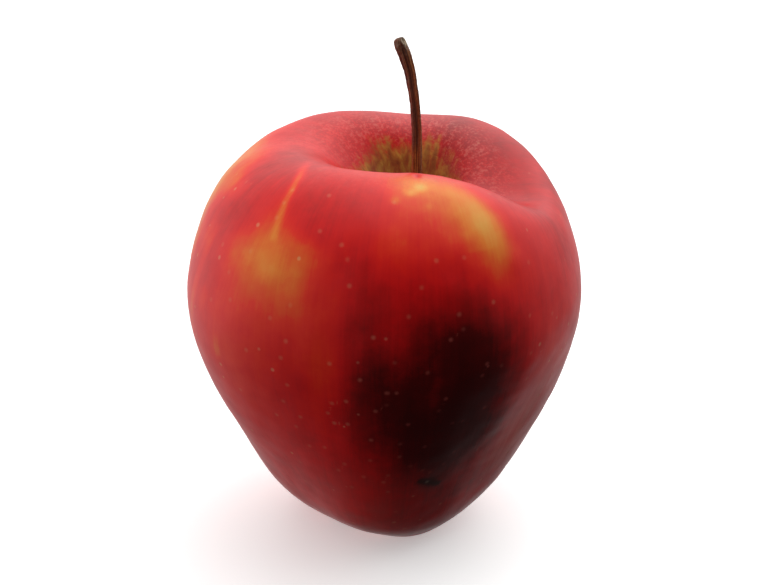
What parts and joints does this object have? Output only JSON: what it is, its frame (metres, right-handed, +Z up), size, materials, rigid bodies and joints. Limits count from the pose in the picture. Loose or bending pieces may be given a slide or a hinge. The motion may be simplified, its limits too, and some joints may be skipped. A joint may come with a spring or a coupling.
{
  "type": "apple",
  "caption": "Whole heart-shaped red dessert apple with its woody stalk and dried calyx, standing on the lobes round its base.",
  "frame": {"origin": "on the surface the apple stands on, under the middle of the fruit's outline", "axes": "+Z up along the core, towards the stalk; +X towards the side where the crest is lowest and the stalk cavity is nearest; -Y towards the front"},
  "size_m": [0.0722, 0.074, 0.0935],
  "materials": {
    "apple_skin": "smooth waxy fruit skin, mottled red over yellow with small pale lenticels, semi-gloss",
    "stem_wood": "dry brown stalk with fine lengthwise ridges, matt",
    "calyx": "dried downy leaf, matt",
    "stamen": "withered filaments, matt"
  },
  "bodies": {
    "root": {"fruit": "apple_skin", "stem": "stem_wood", "sepal_1": "calyx", "sepal_2": "calyx", "sepal_3": "calyx", "sepal_4": "calyx", "sepal_5": "calyx", "stamens": "stamen"}
  },
  "joints": []
}
